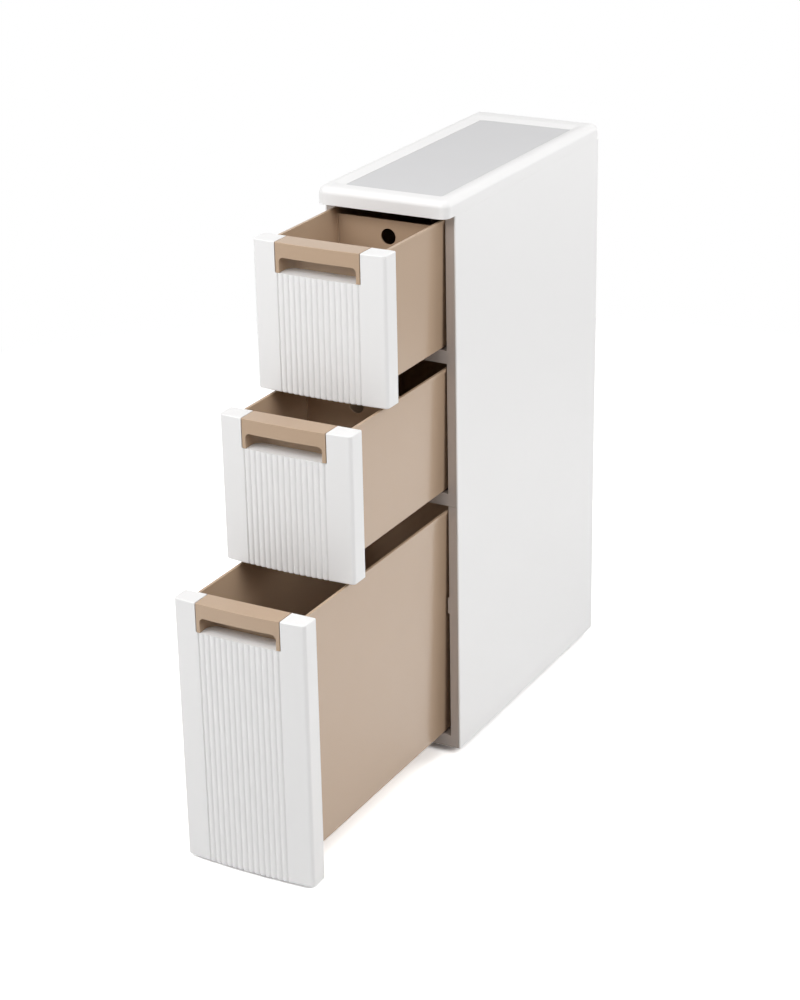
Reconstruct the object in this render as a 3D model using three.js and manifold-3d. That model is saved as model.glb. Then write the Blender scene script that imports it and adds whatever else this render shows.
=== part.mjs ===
// Slim rolling drawer tower: a narrow cabinet on four small rollers with two shallow drawers
// above one deep drawer, all three pulled out by different amounts.
// Millimetres. +X to the right, +Y into the cabinet, +Z up. The floor is z = 0. Pieces are laid out
// with the front face of the cabinet's frame at y = 0, and the whole cart is then moved along y so
// that the origin is the middle of the floor it covers with its drawers open.
import * as THREE from "three";
import { mergeVertices } from "three/addons/utils/BufferGeometryUtils.js";
import Module from "manifold-3d";

const wasm = await Module();
wasm.setup();

// Clearances
const fitGap = 0.3; // between pieces that are clipped or rested together
const rimGap = 1.5; // drawer rim to the stile on each side
const closedGap = 1; // back of a drawer front to the frame when shut
const boxRearGap = 24.2; // back of a shut drawer box to the flange behind it
const boxLift = 2; // drawer box above the rail it passes over
const headGap = 4.2; // top of a drawer front below the rail above
const frontGap = 3.5; // between neighbouring drawer fronts
const frontFloorGap = 5; // lowest drawer front above the floor
const tiltGap = 1.5; // drawer rim below its hold-down ribs
const past = 1; // how far a cutting or joining solid runs into the next

// Cabinet
const cabinetWidth = 180;
const cabinetDepth = 413;
const floorClearance = 10; // lower edge of the side panels above the floor
const railHeight = 16.5;
const deepOpening = 325.5;
const shallowOpening = 172.5;
const stileWidth = 11.4;
const frameDepth = 22;
const panelWall = 2;
const panelEdge = 0.8; // chamfer on the outer front edge of a side panel
const backWall = 2.5;
const backInset = 0.5;
const topBarHeight = 7.3; // bar of the frame that hides inside the cover

// Guide block on each stile beside the deep drawer
const guideReach = 2.2;
const guideHeight = 22;
const guideCentre = 204; // above the lower edge of the frame

// Shelves and base plate
const shelfWall = 3;
const flangeWall = 2.5;
const runnerWidth = 8;
const runnerCentre = 62;
const holdDownWall = 2.5;
const ledgeHeight = 2;
const ledgeReach = 2.5;

// Cover and its inlaid mat
const coverHeight = 22;
const coverOverhang = 22.4;
const coverWall = 2.5;
const coverCorner = 12; // front corners in plan
const coverRearCorner = 4;
const coverEdge = 9.5;
const recessDepth = 5.5;
const recessCorner = 4;
const rimSide = 23.4; // recess for the mat from each edge of the cover
const rimFront = 32;
const rimRear = 36.5;
const slopeRun = 12.5; // slope from the mat up to the crest of the rim
const crestCorner = 8;
const matThickness = 1.5;

// Drawer box
const boxWall = 2.2;
const boxCorner = 6;
const draftAngle = 1.25; // degrees, every wall but the front one
const lipReach = 1.6;
const lipHeight = 4;
const stopHalf = 18;
const stopCatch = 5; // how far the stop tab reaches behind the rail

// Drawer front
const frontInset = 1; // each end of a front inside the cabinet's side
const frontThickness = 29.15; // at the middle of the bow
const frontBow = 4.55; // drop of the bow from the middle to the ends
const frontWall = 2.5;
const frontCorner = 5;
const frontEdge = 1.6;
const slotHalf = 57.6;
const slotDepth = 37.4;
const slotPost = 2.4; // wall of the front beside the slot
const stiffenerAt = 20;
const stiffenerWall = 1.8;
const ribCount = 14;
const ribMargin = 3.1; // outermost groove from the edge of the slot
const ribGroove = 2.3;
const ribDepth = 1.7;
const ribCrown = 1; // drop of a rib's own crown from its middle to its edges
const fieldLap = 1.8; // pilaster over the end of the ribbed field
const ledgeRise = 1;

// Grip
const gripGap = 1.2; // grip to the slot on each side
const gripWall = 2.5;
const gripBar = 18; // height of the bar above the finger opening
const gripLeg = 4.6;
const gripEdge = 1;
const fingerRadius = 6;
const scoopDepth = 22.6;
const scoopRadius = 12;

// Divider and its slots
const dividerAt = 141.3; // front face behind the frame plane when the drawer is shut
const dividerWall = 2.2;
const dividerDrop = 8.1; // top of the divider below the rim
const holeDiameter = 20;
const holeDrop = 20.8; // centre of the hole below the top of the divider
const dividerRibWidth = 1.5;
const dividerRibReach = 1.5;

// Rollers
const rollerDiameter = 23;
const rollerWidth = 12;
const rollerEdge = 1.2;
const rollerSideGap = 1;
const axleDiameter = 4;
const cheekWall = 3;
const cheekHalf = 6;
const cheekDrop = 5; // cheek below the axle
const rollerTrack = 120;
const frontAxleInset = 38; // axle from the face of the frame
const rearAxleInset = 28; // axle from the back of the cabinet

// How far each drawer stands open
const openTop = 145;
const openMiddle = 233;
const openBottom = 348;

// Levels and half widths that follow from the sizes above
const halfWidth = cabinetWidth / 2;
const panelInner = halfWidth - panelWall;
const frameHalf = panelInner - fitGap;
const openingHalf = frameHalf - stileWidth;
const bottomRailTop = floorClearance + railHeight;
const lowerRail = bottomRailTop + deepOpening;
const lowerRailTop = lowerRail + railHeight;
const upperRail = lowerRailTop + shallowOpening;
const upperRailTop = upperRail + railHeight;
const coverBottom = upperRailTop + shallowOpening;
const coverTop = coverBottom + coverHeight;
const panelTop = coverBottom - fitGap;
const backInner = cabinetDepth - backInset - backWall;
const shelfFront = frameDepth + fitGap;
const shelfRear = backInner - fitGap;
const rimHalf = openingHalf - rimGap;
const wallTopHalf = rimHalf - lipReach;
const rimDrop = frontWall + fitGap;
const boxFront = -closedGap - boxWall;
const boxRear = shelfRear - flangeWall - boxRearGap;
const seatPlane = boxFront - fitGap;
const frontHalf = halfWidth - frontInset;
const holdDownCentre = wallTopHalf - boxWall;
const draft = Math.tan(THREE.MathUtils.degToRad(draftAngle));

const material = (color, roughness, metalness = 0) =>
  new THREE.MeshStandardMaterial({ color, roughness, metalness });
const white = () => material(0xecebe9, 0.42);
const taupe = () => material(0x978b82, 0.5);
const tan = () => material(0xc0a68d, 0.38);
const paleGrey = () => material(0xd6d6d8, 0.6);
const darkGrey = () => material(0x55565a, 0.6);
const steel = () => material(0xb9babc, 0.3, 1);

// Closed geometry to a solid, and a solid back to geometry. Points snap to a fine binary grid, so
// that faces meant to lie in one plane do so exactly.
const snapSteps = 1024; // per millimetre

function toSolid(geometry) {
  const bare = geometry.clone();
  bare.deleteAttribute("normal");
  bare.deleteAttribute("uv");
  const { array } = bare.attributes.position;
  array.forEach((value, i) => {
    array[i] = Math.round(value * snapSteps) / snapSteps;
  });
  const merged = mergeVertices(bare, 0.1 / snapSteps);
  return new wasm.Manifold(new wasm.Mesh({
    numProp: 3,
    vertProperties: new Float32Array(merged.attributes.position.array),
    triVerts: new Uint32Array(merged.index.array),
  }));
}

function toGeometry(solid) {
  const { vertProperties, triVerts } = solid.getMesh();
  const geometry = new THREE.BufferGeometry();
  geometry.setAttribute("position", new THREE.BufferAttribute(new Float32Array(vertProperties), 3));
  geometry.setIndex(new THREE.BufferAttribute(new Uint32Array(triVerts), 1));
  geometry.computeVertexNormals();
  return geometry;
}

const join = (...solids) => solids.reduce((sum, next) => sum.add(next));
const cut = (solid, ...cutters) => cutters.reduce((rest, next) => rest.subtract(next), solid);

// Prisms: an outline of [u, v] points pushed along one axis
function prism(outline, from, to, basis, bevel = 0) {
  const shape = new THREE.Shape(outline.map(([u, v]) => new THREE.Vector2(u, v)));
  const geometry = new THREE.ExtrudeGeometry(shape, {
    depth: to - from - 2 * bevel,
    bevelEnabled: bevel > 0,
    bevelThickness: bevel,
    bevelSize: bevel,
    bevelOffset: -bevel,
    bevelSegments: 3,
  });
  geometry.translate(0, 0, bevel);
  return toSolid(geometry.applyMatrix4(basis));
}

const prismZ = (outline, z0, z1, bevel) =>
  prism(outline, z0, z1, new THREE.Matrix4().makeTranslation(0, 0, z0), bevel);
// Outline in (x, z)
const prismY = (outline, y0, y1) =>
  prism(outline, y0, y1, new THREE.Matrix4().set(1, 0, 0, 0, 0, 0, -1, y1, 0, 1, 0, 0, 0, 0, 0, 1));
// Outline in (y, z)
const prismX = (outline, x0, x1) =>
  prism(outline, x0, x1, new THREE.Matrix4().set(0, 0, 1, x0, 1, 0, 0, 0, 0, 1, 0, 0, 0, 0, 0, 1));

const rectangle = (u0, u1, v0, v1) => [[u0, v0], [u1, v0], [u1, v1], [u0, v1]];
const block = (x0, x1, y0, y1, z0, z1) => prismZ(rectangle(x0, x1, y0, y1), z0, z1);
// The same block at +x and at -x
const pair = (x0, x1, y0, y1, z0, z1) =>
  join(block(x0, x1, y0, y1, z0, z1), block(-x1, -x0, y0, y1, z0, z1));

// Rectangle with round corners, anticlockwise, 4 * (steps + 1) points; far is the radius of its
// two corners at v1
function roundedRectangle(x0, x1, y0, y1, radius, steps = 4, far = radius) {
  const corners = [[x1 - radius, y0 + radius, radius, -90], [x1 - far, y1 - far, far, 0],
    [x0 + far, y1 - far, far, 90], [x0 + radius, y0 + radius, radius, 180]];
  return corners.flatMap(([x, y, r, start]) => Array.from({ length: steps + 1 }, (_, i) => {
    const angle = THREE.MathUtils.degToRad(start + (90 * i) / steps);
    return [x + r * Math.cos(angle), y + r * Math.sin(angle)];
  }));
}

const circle = (u, v, radius, steps) => Array.from({ length: steps }, (_, i) => {
  const angle = (2 * Math.PI * i) / steps;
  return [u + radius * Math.cos(angle), v + radius * Math.sin(angle)];
});

// Solid through rings of equally many points, each ring { z, points }, from low to high
function loft(rings) {
  const count = rings[0].points.length;
  const positions = rings.flatMap(({ z, points }) => points.flatMap(([x, y]) => [x, y, z]));
  const index = [];
  for (let r = 0; r + 1 < rings.length; r += 1) {
    for (let i = 0; i < count; i += 1) {
      const a = r * count + i;
      const b = r * count + ((i + 1) % count);
      index.push(a, b, b + count, a, b + count, a + count);
    }
  }
  const cap = THREE.ShapeUtils.triangulateShape(
    rings[0].points.map(([x, y]) => new THREE.Vector2(x, y)), []);
  const top = (rings.length - 1) * count;
  cap.forEach(([a, b, c]) => index.push(a, c, b, top + a, top + b, top + c));
  const geometry = new THREE.BufferGeometry();
  geometry.setAttribute("position", new THREE.Float32BufferAttribute(positions, 3));
  geometry.setIndex(index);
  return toSolid(geometry);
}

const tower = new THREE.Group();

function addMesh(parent, name, solid, look) {
  const mesh = new THREE.Mesh(toGeometry(solid), look);
  mesh.name = name;
  parent.add(mesh);
  return mesh;
}

// Side panels: plain walls with ledges under the two shelves
function sidePanel(side) {
  const outline = [[panelInner, 0], [halfWidth - panelEdge, 0], [halfWidth, panelEdge],
    [halfWidth, cabinetDepth], [panelInner, cabinetDepth]];
  const ledges = [lowerRail, upperRail].map((level) =>
    block(panelInner - ledgeReach, panelInner + panelWall / 2, shelfFront, shelfRear,
      level - fitGap - ledgeHeight, level - fitGap));
  const panel = join(prismZ(outline, floorClearance, panelTop), ...ledges);
  return side > 0 ? panel : panel.mirror([1, 0, 0]);
}

// Front frames: stiles and rails in one moulding each
function upperFrame() {
  const tongueHalf = halfWidth - coverWall - fitGap;
  const stiles = block(-frameHalf, frameHalf, 0, frameDepth, lowerRail + fitGap / 2, panelTop);
  const bar = block(-tongueHalf, tongueHalf, 0, frameDepth, panelTop - past, panelTop + topBarHeight);
  const openings = [[lowerRailTop, upperRail], [upperRailTop, panelTop]].map(([z0, z1]) =>
    block(-openingHalf, openingHalf, -past, frameDepth + past, z0, z1));
  return cut(join(stiles, bar), ...openings);
}

function lowerFrame() {
  const outer = block(-frameHalf, frameHalf, 0, frameDepth, floorClearance, lowerRail - fitGap / 2);
  const opening = block(-openingHalf, openingHalf, -past, frameDepth + past, bottomRailTop, lowerRail);
  const centre = floorClearance + guideCentre;
  const guides = pair(openingHalf - guideReach, openingHalf + past, 0, frameDepth,
    centre - guideHeight / 2, centre + guideHeight / 2);
  return join(cut(outer, opening), guides);
}

// Shelf behind a rail: plate, flanges down to the foot of the rail, runners for the drawer above
function shelf(railTop, runnerGapToFoot) {
  const foot = railTop - railHeight + runnerGapToFoot;
  const plate = block(-frameHalf, frameHalf, shelfFront, shelfRear, railTop - shelfWall, railTop);
  const flanges = pair(frameHalf - flangeWall, frameHalf, shelfFront, shelfRear, foot, railTop);
  const rear = block(-frameHalf, frameHalf, shelfRear - flangeWall, shelfRear, foot, railTop);
  const runners = pair(runnerCentre - runnerWidth / 2, runnerCentre + runnerWidth / 2,
    shelfFront, shelfRear, railTop - past, railTop + boxLift - fitGap);
  return join(plate, flanges, rear, runners);
}

// Ribs that keep the back of an open drawer from lifting, hung from the plate above it
const holdDown = (rimTop, plate) =>
  pair(holdDownCentre - holdDownWall / 2, holdDownCentre + holdDownWall / 2,
    shelfFront, boxRear, rimTop + tiltGap, plate);

// Base plate: a shelf with two cheeks and an axle hole for each roller
const axlePlaces = [["front", frontAxleInset], ["rear", cabinetDepth - rearAxleInset]];
const rollerPlaces = axlePlaces.flatMap(([end, y]) => [["left", -1], ["right", 1]].map(
  ([hand, side]) => ({ name: `${end}_${hand}`, x: (side * rollerTrack) / 2, y })));
const axleHeight = rollerDiameter / 2;
const cheekInner = rollerWidth / 2 + rollerSideGap;
const boreRadius = axleDiameter / 2 + fitGap;

function basePlate() {
  const plate = shelf(bottomRailTop, fitGap);
  const cheeks = rollerPlaces.flatMap(({ x, y }) => [-1, 1].map((side) => {
    const near = x + side * cheekInner;
    const far = near + side * cheekWall;
    return block(Math.min(near, far), Math.max(near, far), y - cheekHalf, y + cheekHalf,
      axleHeight - cheekDrop, bottomRailTop - shelfWall + past);
  }));
  const bores = rollerPlaces.map(({ x, y }) => prismX(circle(y, axleHeight, boreRadius, 24),
    x - cheekInner - cheekWall - past, x + cheekInner + cheekWall + past));
  return cut(join(plate, ...cheeks), ...bores);
}

// Cover: rounded slab with a recess inside a sloping rim, and a hollow underside
function coverSlab(inset, z) {
  const [near, far] = [coverCorner, coverRearCorner].map((radius) => Math.max(radius - inset, 0.5));
  return { z, points: roundedRectangle(-halfWidth + inset, halfWidth - inset,
    -coverOverhang + inset, cabinetDepth - inset, near, 6, far) };
}

const coverFloor = coverTop - recessDepth - coverWall;
const matTop = coverTop - recessDepth + fitGap + matThickness;

const recessOutline = (outset, radius) => roundedRectangle(-halfWidth + rimSide - outset,
  halfWidth - rimSide + outset, -coverOverhang + rimFront - outset, cabinetDepth - rimRear + outset,
  radius);

function cover() {
  const rings = [coverSlab(0, coverBottom)];
  for (let i = 0; i <= 6; i += 1) {
    const angle = (Math.PI / 2) * (i / 6);
    rings.push(coverSlab(coverEdge * (1 - Math.cos(angle)),
      coverTop - coverEdge + coverEdge * Math.sin(angle)));
  }
  const recess = prismZ(recessOutline(0, recessCorner), coverTop - recessDepth, matTop + past);
  const slope = loft([{ z: matTop, points: recessOutline(0, recessCorner) },
    ...[coverTop, coverTop + past].map((z) => ({ z, points: recessOutline(slopeRun, crestCorner) }))]);
  const hollow = loft([coverSlab(coverWall, coverBottom - past), coverSlab(coverWall, coverFloor)]);
  const ribs = holdDown(coverBottom - headGap - rimDrop, coverFloor + past);
  return join(cut(loft(rings), recess, slope, hollow), ribs);
}

const coverMat = () => prismZ(recessOutline(-fitGap, recessCorner - fitGap), matTop - matThickness, matTop);

// Drawer box: drafted tray with a lip round the rim, a stop tab and divider slots
const halfAt = (box, z) => wallTopHalf - draft * (box.rim - z);

function boxRing(box, z, inset) {
  const half = halfAt(box, z) - inset;
  const rear = boxRear - draft * (box.rim - z) - inset;
  const radius = Math.max(boxCorner - inset, 0.5);
  return { z, points: roundedRectangle(-half, half, boxFront + inset, rear, radius) };
}

function dividerRib(box, y0, y1, side) {
  const ring = (z) => {
    const wall = halfAt(box, z) - boxWall;
    const xs = [side * (wall - dividerRibReach), side * (wall + boxWall / 2)].sort((a, b) => a - b);
    return { z, points: rectangle(xs[0], xs[1], y0, y1) };
  };
  return loft([ring(box.floor + boxWall / 2), ring(box.rim - dividerDrop)]);
}

function drawerBox(box) {
  const shell = loft([boxRing(box, box.floor, 0), boxRing(box, box.rim, 0)]);
  const lip = prismZ(roundedRectangle(-rimHalf, rimHalf, boxFront, boxRear + lipReach, boxCorner),
    box.rim - lipHeight, box.rim);
  const stop = block(-stopHalf, stopHalf, boxRear - boxWall, boxRear + lipReach,
    box.rim - lipHeight, box.railAbove + stopCatch);
  const inside = loft([boxRing(box, box.floor + boxWall, boxWall), boxRing(box, box.rim + past, boxWall)]);
  const ribs = box.divided ? [-1, 1].flatMap((side) => {
    const front = dividerAt - fitGap;
    const rear = dividerAt + dividerWall + fitGap;
    return [dividerRib(box, front - dividerRibWidth, front, side),
      dividerRib(box, rear, rear + dividerRibWidth, side)];
  }) : [];
  return join(cut(join(shell, lip, stop), inside), ...ribs);
}

function divider(box) {
  const low = box.floor + boxWall + fitGap;
  const high = box.rim - dividerDrop;
  const reach = (z) => halfAt(box, z) - boxWall - fitGap;
  const plate = prismY([[-reach(low), low], [reach(low), low], [reach(high), high],
    [-reach(high), high]], dividerAt, dividerAt + dividerWall);
  const hole = prismY(circle(0, high - holeDrop, holeDiameter / 2, 32),
    dividerAt - past, dividerAt + dividerWall + past);
  return cut(plate, hole);
}

// Drawer front: bowed shell with a ribbed field under the slot for the grip
const bowAt = (x) => -closedGap - frontThickness + frontBow * (x / frontHalf) ** 2;
const slotFace = bowAt(slotHalf);

function bowOutline(x0, x1, offset, back, steps) {
  const points = Array.from({ length: steps + 1 }, (_, i) => {
    const x = x0 + ((x1 - x0) * i) / steps;
    return [x, bowAt(x) + offset];
  });
  return [...points, [x1, back], [x0, back]];
}

function pilasterOutline() {
  const arc = Array.from({ length: 5 }, (_, i) => {
    const angle = THREE.MathUtils.degToRad(-90 + (90 * i) / 4);
    return [frontHalf - frontCorner + frontCorner * Math.cos(angle),
      bowAt(frontHalf) + frontCorner + frontCorner * Math.sin(angle)];
  });
  const start = slotHalf - fieldLap;
  const inner = Array.from({ length: 4 }, (_, i) => {
    const x = start + ((frontHalf - frontCorner - start) * i) / 4;
    return [x, bowAt(x)];
  });
  return [...inner, ...arc, [frontHalf, -closedGap], [start, -closedGap]];
}

function ribbedOutline() {
  const first = -slotHalf + ribMargin;
  const pitch = (-2 * first) / ribCount;
  const flank = [slotHalf, slotFace + fieldLap];
  const points = [[-flank[0], flank[1]], [first - ribGroove / 2, bowAt(first)]];
  for (let i = 0; i < ribCount; i += 1) {
    const left = first + i * pitch + ribGroove / 2;
    const right = first + (i + 1) * pitch - ribGroove / 2;
    points.push([first + i * pitch, bowAt(first + i * pitch) + ribDepth]);
    for (let j = 0; j <= 4; j += 1) {
      const angle = Math.PI * (1 - j / 4);
      const x = (left + right) / 2 + ((right - left) / 2) * Math.cos(angle);
      points.push([x, bowAt(x) + ribCrown * (1 - Math.sin(angle))]);
    }
  }
  points.push([-first, bowAt(first) + ribDepth], [-first + ribGroove / 2, bowAt(first)],
    flank, [flank[0], -closedGap], [-flank[0], -closedGap]);
  return points;
}

// Sloping floor of the slot, as a wedge that reaches up and out; raised moves it up
function aboveLedge(box, half, raised) {
  const low = box.top - slotDepth + raised;
  const high = low + ledgeRise;
  return prismX([[slotFace - frontBow, low], [slotFace, low], [slotFace + scoopDepth, high],
    [past, high], [past, box.top + past], [slotFace - frontBow, box.top + past]], -half, half);
}

function drawerFront(box) {
  const pilaster = prismZ(pilasterOutline(), box.bottom, box.top, frontEdge);
  const field = prismZ(ribbedOutline(), box.bottom, box.top - slotDepth + ledgeRise + past);
  const outer = join(pilaster, pilaster.mirror([1, 0, 0]), field);
  const low = box.bottom + frontWall;
  const slotWall = slotHalf + slotPost;
  const ends = prismZ(bowOutline(slotWall, frontHalf - frontWall, frontWall, past, 4),
    low, box.top - frontWall);
  const bays = [[-slotHalf, -stiffenerAt - stiffenerWall / 2],
    [-stiffenerAt + stiffenerWall / 2, stiffenerAt - stiffenerWall / 2],
    [stiffenerAt + stiffenerWall / 2, slotHalf]].map(([x0, x1]) =>
    prismZ(bowOutline(x0, x1, ribDepth + frontWall, past, 6), low, box.top - slotDepth - frontWall));
  const seat = block(-rimHalf - fitGap, rimHalf + fitGap, seatPlane, past,
    box.floor - fitGap, box.top - frontWall);
  return cut(outer, aboveLedge(box, slotHalf, 0), ends, ends.mirror([1, 0, 0]), ...bays, seat);
}

// Grip: bar and top plate over the slot with a round-cornered scoop behind the bar
function grip(box) {
  const half = slotHalf - gripGap;
  const fingerHalf = half - gripLeg;
  const low = box.top - slotDepth - past;
  const body = prismZ(bowOutline(-half, half, 0, -closedGap, 12), low, box.top, gripEdge);
  const kept = aboveLedge(box, half, fitGap);
  const scoop = prismZ(roundedRectangle(-fingerHalf, fingerHalf, slotFace + gripWall - scoopRadius,
    slotFace + scoopDepth, scoopRadius, 6), low - past, box.top - gripWall);
  const inFront = prismZ(bowOutline(-slotHalf, slotHalf, gripWall, slotFace - 2 * scoopRadius, 12),
    low - 2 * past, box.top);
  const opening = prismY([[-fingerHalf, low - past], [fingerHalf, low - past],
    ...roundTop(fingerHalf, box.top - gripBar, fingerRadius)],
  slotFace - frontBow, slotFace + gripWall + past);
  const seat = block(-slotHalf, slotHalf, seatPlane, past, low - past, box.top - gripWall);
  return cut(body.intersect(kept), cut(scoop, inFront), opening, seat);
}

// Upper end of a round-cornered outline, from the right edge to the left
function roundTop(half, top, radius, steps = 4) {
  return [[half - radius, 0], [-half + radius, 90]].flatMap(([u, start]) =>
    Array.from({ length: steps + 1 }, (_, i) => {
      const angle = THREE.MathUtils.degToRad(start + (90 * i) / steps);
      return [u + radius * Math.cos(angle), top - radius + radius * Math.sin(angle)];
    }));
}

// Roller: tread with eased edges round a plain bore, turning about x
function roller() {
  const outer = rollerDiameter / 2;
  const half = rollerWidth / 2;
  const profile = [[boreRadius, -half], [outer - rollerEdge, -half], [outer, -half + rollerEdge],
    [outer, half - rollerEdge], [outer - rollerEdge, half], [boreRadius, half], [boreRadius, -half]];
  return new THREE.LatheGeometry(profile.map(([r, h]) => new THREE.Vector2(r, h)), 40);
}

// Cabinet
addMesh(tower, "side_panel_left", sidePanel(-1), white());
addMesh(tower, "side_panel_right", sidePanel(1), white());
addMesh(tower, "back_panel", block(-frameHalf, frameHalf, backInner, backInner + backWall,
  floorClearance + fitGap, panelTop), white());
addMesh(tower, "front_frame_upper", upperFrame(), taupe());
addMesh(tower, "front_frame_lower", lowerFrame(), taupe());
addMesh(tower, "top_cover", cover(), white());
addMesh(tower, "top_mat", coverMat(), paleGrey());
const deepRim = lowerRail - headGap - rimDrop;
const shallowRim = upperRail - headGap - rimDrop;
addMesh(tower, "shelf_upper", join(shelf(upperRailTop, 0),
  holdDown(shallowRim, upperRailTop - shelfWall + past)), taupe());
addMesh(tower, "shelf_lower", join(shelf(lowerRailTop, 0),
  holdDown(deepRim, lowerRailTop - shelfWall + past)), taupe());
addMesh(tower, "base_plate", basePlate(), taupe());

// Rollers and their axles
rollerPlaces.forEach(({ name, x, y }) => {
  const place = new THREE.Group();
  place.position.set(x, y, axleHeight);
  place.rotation.z = Math.PI / 2;
  const wheel = new THREE.Mesh(roller(), darkGrey());
  wheel.name = `roller_${name}`;
  const axle = new THREE.Mesh(new THREE.CylinderGeometry(axleDiameter / 2, axleDiameter / 2,
    2 * (cheekInner + cheekWall), 24), steel());
  axle.name = `axle_${name}`;
  place.add(wheel, axle);
  tower.add(place);
});

// Drawers, from the bottom up
const drawers = [
  { name: "bottom", railTop: bottomRailTop, railAbove: lowerRail, bottom: frontFloorGap,
    open: openBottom, divided: false },
  { name: "middle", railTop: lowerRailTop, railAbove: upperRail,
    bottom: lowerRail - headGap + frontGap, open: openMiddle, divided: true },
  { name: "top", railTop: upperRailTop, railAbove: coverBottom,
    bottom: upperRail - headGap + frontGap, open: openTop, divided: true },
];

drawers.forEach((drawer) => {
  const top = drawer.railAbove - headGap;
  const box = { ...drawer, top, rim: top - rimDrop, floor: drawer.railTop + boxLift };
  const group = new THREE.Group();
  group.position.y = -drawer.open;
  addMesh(group, `drawer_${drawer.name}_box`, drawerBox(box), tan());
  addMesh(group, `drawer_${drawer.name}_front`, drawerFront(box), white());
  addMesh(group, `drawer_${drawer.name}_grip`, grip(box), tan());
  if (drawer.divided) {
    addMesh(group, `drawer_${drawer.name}_divider`, divider(box), tan());
  }
  tower.add(group);
});

// Origin in the middle of the floor between the foremost drawer front and the back
const foremost = -Math.max(...drawers.map(({ open }) => open)) - closedGap - frontThickness;
tower.position.y = -(foremost + cabinetDepth) / 2;

const cart = new THREE.Group();
cart.add(tower);

export default cart;
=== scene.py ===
# Slim rolling drawer tower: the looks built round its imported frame
import math

import bmesh
import bpy
from bpy.props import FloatProperty, FloatVectorProperty, IntProperty, PointerProperty
from mathutils import Matrix, Vector


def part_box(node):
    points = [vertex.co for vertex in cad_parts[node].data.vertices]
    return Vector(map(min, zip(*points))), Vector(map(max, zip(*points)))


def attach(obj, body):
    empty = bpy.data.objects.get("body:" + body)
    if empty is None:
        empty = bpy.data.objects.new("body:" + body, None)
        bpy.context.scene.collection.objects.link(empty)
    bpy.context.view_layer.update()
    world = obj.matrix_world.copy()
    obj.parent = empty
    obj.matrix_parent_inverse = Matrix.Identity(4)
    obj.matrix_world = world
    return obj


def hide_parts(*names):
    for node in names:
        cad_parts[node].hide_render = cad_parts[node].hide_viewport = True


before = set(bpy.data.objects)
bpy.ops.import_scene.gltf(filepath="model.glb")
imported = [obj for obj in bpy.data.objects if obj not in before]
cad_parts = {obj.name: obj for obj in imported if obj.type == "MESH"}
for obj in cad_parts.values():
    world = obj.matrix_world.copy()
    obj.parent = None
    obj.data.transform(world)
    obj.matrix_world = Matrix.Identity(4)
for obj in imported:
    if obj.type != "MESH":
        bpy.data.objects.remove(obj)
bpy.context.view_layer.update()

bl_info = {
    "name": "Rolling drawer tower",
    "version": (1, 0, 0),
    "blender": (4, 5, 0),
    "location": "View3D > Sidebar > Tower",
    "description": "Builds the visible pieces of a slim rolling drawer tower round its frame",
    "category": "Object",
}

MM = 0.001
CLEARANCE = 0.3 * MM
SEAM = 0.15 * MM
PAST = 2 * MM
SOFT = 0.5 * MM
RIB_EDGE = 0.3 * MM
GRIP_EDGE = 0.45 * MM
DIVIDER_EDGE = 0.35 * MM
EASED_FROM = math.radians(35)
SHARP_FROM = math.radians(40)
SMUDGE = 0.03
RELIEF = 0.6
LAMP_SIZE = 1.4
LAMP_AIM = (0, 0, 0.45)
FLOOR_HALF = 30
WHITE_FROM, WHITE_PAST = 1.0, 1.8
VIEW_PLACE = (1.36173, -2.44726, 1.50417)
VIEW_TURNS = (29.14, -22.57, -1.12)
VIEW_LENS = 106.8
VIEW_SENSOR = 36
DRAWERS = ("top", "middle", "bottom")
DIVIDED = ("top", "middle")
CORNERS = ("front_left", "front_right", "rear_left", "rear_right")
LAMPS = {
    "front_low": (-1.84, -1.84, 0.9),
    "front_high": (-0.17, -1.89, 2.3),
    "left_high": (-1.29, -1.53, 2.2),
    "right_side": (2.35, -0.67, 1.9),
    "rear_low": (1.67, 1.99, 0.9),
    "rear_high": (0.9, 1.56, 2.4),
}


# Sizes and colours that a user would change

def length(name, description, millimetres):
    return FloatProperty(name=name, description=description, default=millimetres * MM, min=0,
                         unit="LENGTH", precision=4)


def colour(name, description, value):
    return FloatVectorProperty(name=name, description=description, default=value, size=3,
                               subtype="COLOR", min=0, max=1)


def amount(name, description, value):
    return FloatProperty(name=name, description=description, default=value, min=0)


class TowerFrontSizes(bpy.types.PropertyGroup):
    bow: length("Bow", "Drop of a front from its middle to its ends", 4.55)
    corner: length("Corner", "Radius of a front's upright corners", 5)
    edge: length("Edge", "Radius of a front's upper and lower edges", 1.6)
    wall: length("Wall", "Wall of the moulding", 2.5)
    ribs: IntProperty(name="Ribs", description="Upright ribs in the field", default=14, min=2)
    rib_margin: length("Rib margin", "Outermost groove from the edge of the slot", 3.1)
    groove: length("Groove", "Width of a groove between two ribs", 2.3)
    groove_depth: length("Groove depth", "Depth of a groove", 1.7)
    rib_crown: length("Rib crown", "Drop of a rib from its middle to its edges", 1)
    slot_depth: length("Slot depth", "Height of the slot for the grip", 37.4)
    slot_post: length("Slot post", "Wall beside the slot", 2.4)
    slot_edge: length("Slot edge", "Radius of the edges of the slot", 0.35)
    ledge_rise: length("Ledge rise", "Rise of the slot's floor towards the back", 1)


class TowerGripSizes(bpy.types.PropertyGroup):
    gap: length("Gap", "Grip to the slot at each end", 1.2)
    wall: length("Wall", "Wall of the grip", 2.5)
    bar: length("Bar", "Height of the bar above the finger opening", 18)
    leg: length("Leg", "Width of the bar's legs", 4.6)
    edge: length("Edge", "Radius of the upper front edge", 0.7)
    finger_radius: length("Finger radius", "Radius of the opening's upper corners", 6)
    scoop_depth: length("Scoop depth", "Room for fingers behind the face", 22.6)
    scoop_radius: length("Scoop radius", "Radius of the scoop's rear corners", 12)


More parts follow.
